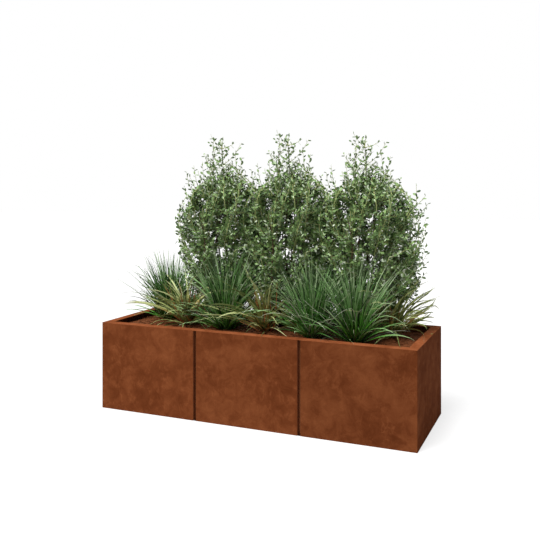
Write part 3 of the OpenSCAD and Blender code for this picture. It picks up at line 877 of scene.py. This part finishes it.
def leader_twigs(rng, leaders):
    """Short twigs up both leaders, longer further down, as paths."""
    paths = []
    for leader in leaders:
        for height in np.arange(0.86, 1.29, 0.019):
            step = np.argmin(abs(leader[:, 2] - height))
            angle = rng.uniform(0, ROUND)
            reach = (0.028 + 0.22 * (1.36 - height)) * rng.uniform(0.5, 1.1)
            t = np.linspace(0, 1, 5)[:, None]
            way = np.array([math.cos(angle), math.sin(angle), 0.0])
            rise = (leader[step] - leader[step - 1]) * (height - leader[step, 2]) * 9
            outward = t * reach * way * 0.75
            paths.append(leader[step] + rise + outward + [0, 0, 1] * t ** 1.4 * reach * 0.95)
    return np.array(paths)


def crown_tips(rng, count, branches):
    """Tips through the crown, most near its outside, and two in three of them drawn into
    clusters along the branches."""
    lowest, highest = CROWN[0, 0], CROWN[-1, 0]
    height = lowest + np.linspace(0, 1, 200) * (highest - lowest)
    weight = np.cumsum(crown_radius(height) ** 1.3)
    height = np.interp(rng.uniform(0, 1, count), weight / weight[-1], height)
    angle = rng.uniform(0, ROUND, count)
    radius = crown_reach(height, angle) * rng.uniform(0.02, 1, count) ** 0.48
    lean = CROWN_SIDE * np.clip(1.35 - height, 0, 0.5) * 2
    tips = around(radius, angle, height, lean, CROWN_DEEP)
    hubs = branches[:, [4, 6, 7]].reshape(-1, 3)
    drawn = rng.uniform(0, 1, count) < CLUSTERED
    pull = rng.uniform(0.35, 0.75, count)[:, None] * drawn[:, None]
    return tips + (hubs[nearest(tips, hubs)] - tips) * pull


# %% Twigs as curves


def draw_twigs(name, paths, thick, thin, material, tone):
    """Paths as one bevelled curve, thick at the start and thin at the tip, made a mesh."""
    curve = bpy.data.curves.new(name, "CURVE")
    curve.dimensions = "3D"
    curve.bevel_depth = 1.0
    curve.bevel_resolution = 0
    for path in paths:
        spline = curve.splines.new("POLY")
        spline.points.add(len(path) - 1)
        spline.points.foreach_set("co", np.c_[path, np.ones(len(path))].ravel())
        spline.points.foreach_set("radius", np.linspace(thick, thin, len(path)))
    select_only(add_object(name, curve))
    bpy.ops.object.convert(target="MESH")
    piece = bpy.context.object
    piece.data.materials.clear()
    piece.data.materials.append(material)
    set_tones(piece.data, tone)
    return piece


# %% Leaves along the twigs
LEAF_LENGTH = 0.032
LIT_BY_HEIGHT = (0.0, 0.6, 0.7, 0.9, 1.0), (0.16, 0.16, 0.03, 0.03, 0.2)


def leaves_along(rng, paths, spacing, first_share):
    """Place, axes, size and tone of leaves set all round the twigs, from a share of their
    length on."""
    length = np.linalg.norm(np.diff(paths, axis=1), axis=-1).sum(1)
    count = int((length.max() * (1 - first_share)) / spacing)
    step = np.arange(count)[None, :]
    share = 1 - (step + rng.uniform(0, 0.6, (len(paths), count))) * spacing / length[:, None]
    kept = share > first_share
    place, ahead = along(paths, share)
    first_turn = rng.uniform(0, 6.28, (len(paths), 1))
    turn = step * GOLDEN_TURN + first_turn + rng.normal(0, 0.35, share.shape)
    side = unit(np.cross(ahead, [0.31, 0.17, 0.93]))
    out = side * np.cos(turn)[..., None] + np.cross(ahead, side) * np.sin(turn)[..., None]
    lean = rng.uniform(0.5, 1.15, share.shape)[..., None]
    forward = unit(ahead * np.cos(lean) + out * np.sin(lean) - [0, 0, 0.12])
    outward = unit(place * [1, 1, 0.001]) * 0.6
    up = unit([0, 0, 0.6] + outward + rng.normal(0, 0.7, forward.shape))
    right = unit(np.cross(forward, up))
    up = np.cross(right, forward)
    grown = 0.72 + 0.28 * np.clip((1 - share) * 6, 0, 1)
    sizes = LEAF_LENGTH * rng.uniform(0.7, 1.15, share.shape) * grown
    lit = np.interp(place[..., 2], *LIT_BY_HEIGHT)
    tone = np.clip(rng.beta(1.3, 1.7, share.shape) + 0.2 * (share > 0.9) + lit, 0, 1)
    return [values[kept] for values in (place, right, forward, up, sizes, tone)]


# %% Root ball under the mulch


def root_ball(radius, depth):
    """The lump of soil and roots that a plant is set with: a rough low ball."""
    deselect()
    bpy.ops.mesh.primitive_uv_sphere_add(segments=20, ring_count=12, radius=radius * 0.97,
                                         location=(0, 0, MULCH_FOOT - depth / 2))
    ball = bpy.context.object
    ball.scale = (1, 1, depth / radius / 2 / 1.04)
    ball = settle(ball, "root_ball")
    switch("EDIT")
    bpy.ops.mesh.select_all(action="SELECT")
    bpy.ops.transform.vertex_random(offset=radius * 0.03, seed=5)
    switch("OBJECT")
    bpy.ops.object.shade_smooth()
    ball.data.materials.append(SOIL)
    set_tones(ball.data, 0.2)
    return ball


# %% Build one shrub and set three
STEM_COUNT, SIDE_COUNT, UPRIGHT_COUNT, OUTER_COUNT = 12, 72, 27, 36
TWIG_COUNT = 2440


def build_shrub(seed):
    """One shrub with its foot at the origin and its mulch line at zero."""
    rng = np.random.default_rng(seed)
    stems = main_stems(rng, STEM_COUNT)
    sides = side_branches(rng, stems, SIDE_COUNT)
    tips = crown_tips(rng, TWIG_COUNT, sides)
    twigs = twig_curves(rng, [stems, sides], tips, drop=0.05, stray=0.03)
    sprig_tips = np.array([(x, rng.uniform(-0.05, 0.05), z) for x, z in SPRIGS])
    sprigs = np.concatenate([twig_curves(rng, [stems, sides], sprig_tips, drop=0.12, stray=0.02),
                             leader_twigs(rng, stems[:2]), upright_shoots(rng, UPRIGHT_COUNT)])
    shoots = outer_shoots(rng, OUTER_COUNT)
    parts = [draw_twigs("stems", stems, 0.008, 0.0022, STEM, 0.5),
             draw_twigs("shoots", shoots, 0.0024, 0.0012, TWIG, 0.85),
             draw_twigs("sides", sides, 0.0046, 0.0024, TWIG, 0.95),
             draw_twigs("twigs", twigs, 0.0016, 0.0008, TWIG, 0.35),
             draw_twigs("sprigs", sprigs, 0.0022, 0.0010, TWIG, 0.8)]
    leaf = leaf_stamp(width=0.5)
    leafy = ((twigs, 0.015, 0.1), (sides, 0.03, 0.5), (sprigs, 0.017, 0.12),
             (stems[:2], 0.015, 0.62), (shoots, 0.024, 0.1))
    for paths, spacing, first_share in leafy:
        leaves = leaves_along(rng, paths, spacing, first_share)
        parts.append(stamp_copies("leaves", leaf, LEAF, *leaves))
    bpy.data.objects.remove(leaf)
    parts.append(root_ball(radius=0.11, depth=0.18))
    print("twigs", len(twigs))
    return join("shrub", parts)


def set_out(piece, name, node, growth=1.0):
    """A copy of a plant on the axis of its CAD solid, riding on the trough in its place, and
    grown taller above the mulch."""
    foot = plant_foot(node)
    copy = add_object(name, piece.data.copy())
    points = points_of(copy)
    points[:, 2] *= np.where(points[:, 2] > 0, growth, 1.0)
    copy.data.vertices.foreach_set("co", points.ravel())
    copy.location = (foot.x, foot.y, MULCH_TOP)
    settle(copy, name)
    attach(copy, "trough")
    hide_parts(node)


shrub = build_shrub(seed=21)
print("shrub faces", len(shrub.data.polygons))
GROWTH = {"left": 1.022, "middle": 1.032, "right": 1.010}
for place, growth in GROWTH.items():
    set_out(shrub, f"shrub_{place}_plant", f"shrub_{place}", growth)
bpy.data.objects.remove(shrub)

# %% [markdown]
# ## Grasses
# A grass blade is a long narrow strip that bends over under its own weight, each one by its
# own amount. Copies of one modelled blade would bend all alike, so the strips are worked
# out: a blade leans further from upright at each step along it, and its width tapers to the
# tip. A ridge along the middle catches light.

# %% Blade materials


def blade_finish(name, shade, green, tip, foot, rib=None):
    """Blade: shade to green by its tone, foot and rib colours low down, pale towards its tip."""
    material, tree, shader = new_material(name)
    tone = own_tone(tree)
    height = add_node(tree, "ShaderNodeAttribute", attribute_name="along").outputs["Fac"]
    colour = blend(tree, spread(tree, tone, 0.05, 0.75), shade, green)
    colour = blend(tree, spread(tree, height, 0.0, 0.22, 0.8, 0.0), colour, foot)
    pale = maths(tree, "MULTIPLY", spread(tree, height, 0.35, 1.0), spread(tree, tone, 0.35, 1.0))
    colour = blend(tree, pale, colour, tip)
    if rib:
        low_down = spread(tree, height, 0.6, 0.15)
        ribbed = maths(tree, "MULTIPLY", spread(tree, tone, 0.65, 0.9), low_down)
        colour = blend(tree, ribbed, colour, rib)
    veins = noise(tree, 420.0, 2.0)
    colour = blend(tree, spread(tree, veins, 0.3, 0.7, 0.0, 0.2), colour, shade)
    coat(tree, shader, colour, spread(tree, veins, 0.3, 0.7, 0.42, 0.58), 0.4)
    return material


TUSSOCK = blade_finish("tussock_blade", srgb(10, 24, 6), srgb(88, 156, 50),
                       srgb(204, 218, 180), srgb(22, 46, 14))
DEAD = blade_finish("dead_blade", srgb(128, 134, 104), srgb(172, 178, 152),
                    srgb(204, 208, 192), srgb(120, 126, 96))
SEDGE = blade_finish("sedge_blade", srgb(66, 78, 36), srgb(176, 188, 112),
                     srgb(212, 216, 166), srgb(132, 96, 52), srgb(184, 92, 48))
STALK = blade_finish("sedge_stalk", srgb(120, 56, 28), srgb(176, 88, 46),
                     srgb(150, 140, 78), srgb(130, 64, 34))

# %% Bent blades
OUTER = np.array([MULCH_HIGH.x + 0.050, MULCH_HIGH.y + 0.022])
TURN_IN = 0.05
FOLDED = 0.35
RIGHT_SHORTER = 0.05
RIM_INNER = np.array([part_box("rim_right")[0].x, -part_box("rim_front")[1].y])
RIM_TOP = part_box("rim_front")[1].z - MULCH_TOP


def keep_near(points, middle):
    """Blades bent back at the trough's edge, and kept above the mulch and the rim."""
    over_rim = np.zeros(points.shape[:-1], bool)
    for axis in (0, 1):
        value = points[..., axis] + middle[axis]
        start = OUTER[axis] - TURN_IN - RIGHT_SHORTER * (1 - axis) * (value > 0)
        beyond = np.maximum(abs(value) - start, 0)
        kept = np.minimum(abs(value), start) + TURN_IN * (1 - np.exp(-beyond / TURN_IN))
        points[..., axis] = np.sign(value) * kept - middle[axis]
        over_rim |= kept > RIM_INNER[axis] - 0.01
    rooted = np.hypot(points[..., 0], points[..., 1]) < 0.06
    lowest = np.where(over_rim, RIM_TOP + 0.004, np.where(rooted, -0.02, 0.006))
    points[..., 2] = np.maximum(points[..., 2], lowest)
    return points


def bent_blades(name, rng, base, azimuth, lean, droop, length, width, material, middle,
                steps=8, late=1.6):
    """Strips that lean from lean to droop, in radians from upright, along their length."""
    count = len(base)
    t = np.linspace(0, 1, steps + 1)[None, :]
    angle = lean[:, None] + (droop - lean)[:, None] * t ** late
    wander = azimuth[:, None] + rng.normal(0, 0.25, count)[:, None] * t
    ahead = around(np.sin(angle), wander, np.cos(angle))
    moves = ahead[:, :-1] * (length / steps)[:, None, None]
    line = base[:, None, :] + np.concatenate([np.zeros((count, 1, 3)), np.cumsum(moves, 1)], 1)
    level = columns(-np.sin(wander), np.cos(wander), 0)
    roll = rng.normal(0, 0.8, count)[:, None] + rng.normal(0, 0.9, count)[:, None] * t
    roll = roll[..., None]
    side = level * np.cos(roll) + np.cross(ahead, level) * np.sin(roll)
    taper = np.sin(np.pi * np.clip(0.22 + 0.78 * t, 0, 0.995)) ** 0.75
    half = (width[:, None] / 2 * taper)[..., None]
    fold = np.cross(side, ahead) * half * FOLDED
    side = side * half
    points = keep_near(np.stack([line - side + fold, line, line + side + fold], 2), middle)
    grid = np.arange(points.size // 3).reshape(points.shape[:-1])
    corners = [grid[:, :-1, :-1], grid[:, :-1, 1:], grid[:, 1:, 1:], grid[:, 1:, :-1]]
    tones = np.repeat(rng.uniform(0, 1, count), steps * 2)
    piece = mesh_piece(name, points.reshape(-1, 3), np.stack(corners, -1).reshape(-1, 4),
                       material, tones)
    shares = np.broadcast_to(t[..., None], grid.shape).astype(np.float32)
    piece.data.attributes.new("along", "FLOAT", "POINT").data.foreach_set("value", shares.ravel())
    return piece


def foot_ring(rng, count, radius):
    """Places in a plant's foot and the way that each faces outwards."""
    angle = rng.uniform(0, ROUND, count)
    reach = radius * np.sqrt(rng.uniform(0, 1, count))
    return around(reach, angle, -0.015), angle + rng.normal(0, 0.7, count)


def loose_blades(name, rng, count, radius, tall, lean, droop, share, width, material, middle,
                 steps=8):
    """Blades whose lean, droop, share of the height and width are drawn between two ends."""
    base, azimuth = foot_ring(rng, count, radius)
    lean, droop, share, width = (rng.uniform(*ends, count) for ends in (lean, droop, share, width))
    return bent_blades(name, rng, base, azimuth, lean, droop, tall * share, width, material,
                       middle, steps)


def plant_grasses(kind, build, plants):
    """Builds and sets out the plants of a kind, each from its seed and its height."""
    for i, (seed, tall) in enumerate(plants, start=1):
        node = f"{kind}_{i}"
        plant = build(seed, tall, plant_foot(node))
        set_out(plant, f"{node}_plant", node)
        bpy.data.objects.remove(plant)


# %% Tussocks


def build_tussock(seed, tall, middle):
    """Fan of fine blades, a skirt of low arching ones, and a few dead pale ones."""
    rng = np.random.default_rng(seed)
    count = 400
    base, azimuth = foot_ring(rng, count, 0.042)
    lean = abs(rng.normal(0.22, 0.19, count))
    droop = lean + rng.gamma(1.5, 0.36, count)
    length = tall * np.clip(rng.normal(0.82, 0.18, count), 0.35, 1.12)
    width = rng.uniform(0.0048, 0.0088, count)
    return join("tussock", [
        bent_blades("fan", rng, base, azimuth, lean, droop, length, width, TUSSOCK, middle),
        loose_blades("skirt", rng, 60, 0.042, tall, (0.5, 1.1), (1.3, 2.1), (0.5, 0.9),
                     (0.0065, 0.0105), TUSSOCK, middle, 10),
        loose_blades("dead", rng, 44, 0.035, tall, (0.1, 1.0), (0.6, 2.4), (0.5, 1.0),
                     (0.004, 0.008), DEAD, middle),
        root_ball(radius=0.05, depth=0.10)])


plant_grasses("tussock", build_tussock,
              ((31, 0.53), (32, 0.58), (33, 0.555), (34, 0.545)))

# %% Sedges


def build_sedge(seed, tall, middle):
    """Broad arching olive blades with rust-red ribs, on short stems."""
    rng = np.random.default_rng(seed)
    count = 124
    base, _ = foot_ring(rng, count, 0.038)
    azimuth = spiral(rng, count)
    lean = abs(rng.normal(0.52, 0.3, count))
    droop = lean + rng.uniform(0.6, 1.6, count)
    length = tall * rng.uniform(0.5, 1.0, count)
    width = rng.uniform(0.010, 0.018, count)
    return join("sedge", [
        bent_blades("arching", rng, base, azimuth, lean, droop, length, width, SEDGE, middle,
                    10, 1.2),
        loose_blades("stalks", rng, 26, 0.045, tall, (0.05, 0.5), (0.2, 0.8), (0.35, 0.7),
                     (0.006, 0.009), STALK, middle),
        root_ball(radius=0.05, depth=0.10)])


plant_grasses("sedge", build_sedge, ((41, 0.54), (42, 0.62), (43, 0.62)))

# %% [markdown]
# ## A fallen leaf
# The photograph shows a small yellow-green leaf on the right-hand rim. It lies where the ray
# through its image point meets the rim.

# %% Fallen leaf on the rim
FALLEN = leaf_finish("fallen_leaf", srgb(120, 110, 50), srgb(168, 164, 84),
                     srgb(180, 176, 110), 0.5)
spot = on_surface("fallen_leaf", nodes["rim_right"])
lying = [(spot.x, spot.y - 0.010, spot.z + 0.0008), (0.8, -0.6, 0.0), (0.6, 0.8, 0.0),
         (0.0, 0.0, 1.0), 0.022, 0.6]
fallen_stamp = leaf_stamp(width=0.56)
fallen = stamp_copies("fallen_leaf", fallen_stamp, FALLEN, *(np.array([v]) for v in lying))
bpy.data.objects.remove(fallen_stamp)
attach(fallen, "trough")

# %% [markdown]
# ## Floor, light and background
# The light is a soft studio light: a pale sky all round, and one broad lamp high on the
# front left, which leaves the right-hand end in shade. The floor is pale and runs far back,
# and what the camera sees of the sky is white.

# %% Floor
WHITE = (1, 1, 1, 1)


def seen_directly(tree):
    """One for what the camera or a shiny face sees, and zero for light on its way."""
    rays = tree.nodes.new("ShaderNodeLightPath")
    return maths(tree, "MAXIMUM", rays.outputs["Is Camera Ray"], rays.outputs["Is Glossy Ray"])


def mix_shaders(tree, *share_and_shaders):
    """Two shaders mixed by a share."""
    node = tree.nodes.new("ShaderNodeMixShader")
    for socket, value in zip(node.inputs, share_and_shaders):
        plug(tree, socket, value)
    return node.outputs[0]


deselect()
bpy.ops.mesh.primitive_plane_add(size=60)
floor = settle(bpy.context.object, "floor")
floor_material, tree, shader = new_material("floor_paper")
coat(tree, shader, srgb(168, 168, 168), 0.9)
paper = tree.nodes.new("ShaderNodeBsdfDiffuse")
paper.inputs["Color"].default_value = WHITE
glow = tree.nodes.new("ShaderNodeEmission")
shown_floor = mix_shaders(tree, 0.75, paper.outputs[0], glow.outputs[0])
lit_floor = mix_shaders(tree, seen_directly(tree), shader.outputs[0], shown_floor)
plug(tree, tree.nodes["Material Output"].inputs["Surface"], lit_floor)
floor.data.materials.append(floor_material)

# %% Sky and lamp
SKY = 0.35
world = bpy.data.worlds.new("studio")
bpy.context.scene.world = world
world.use_nodes = True
tree = world.node_tree
sky = tree.nodes["Background"]
sky.inputs["Color"].default_value = WHITE
strength = spread(tree, seen_directly(tree), 0.0, 1.0, SKY, 1.0)
plug(tree, sky.inputs["Strength"], strength)

lamp_data = bpy.data.lights.new("key", "SUN")
lamp_data.energy = 4.55
lamp_data.angle = math.radians(24)
lamp = add_object("key", lamp_data)
LIGHT_FROM = Vector((-0.26, -0.56, 1.3))
lamp.rotation_euler = LIGHT_FROM.to_track_quat("Z", "Y").to_euler()
bpy.context.scene.view_settings.view_transform = "Standard"

# %% [markdown]
# ## Measure and finish
# The CAD frame's box is taken up again, as its low and high corners.

# %% CAD box corners
low, high = (Vector(corner) for corner in cad_box)
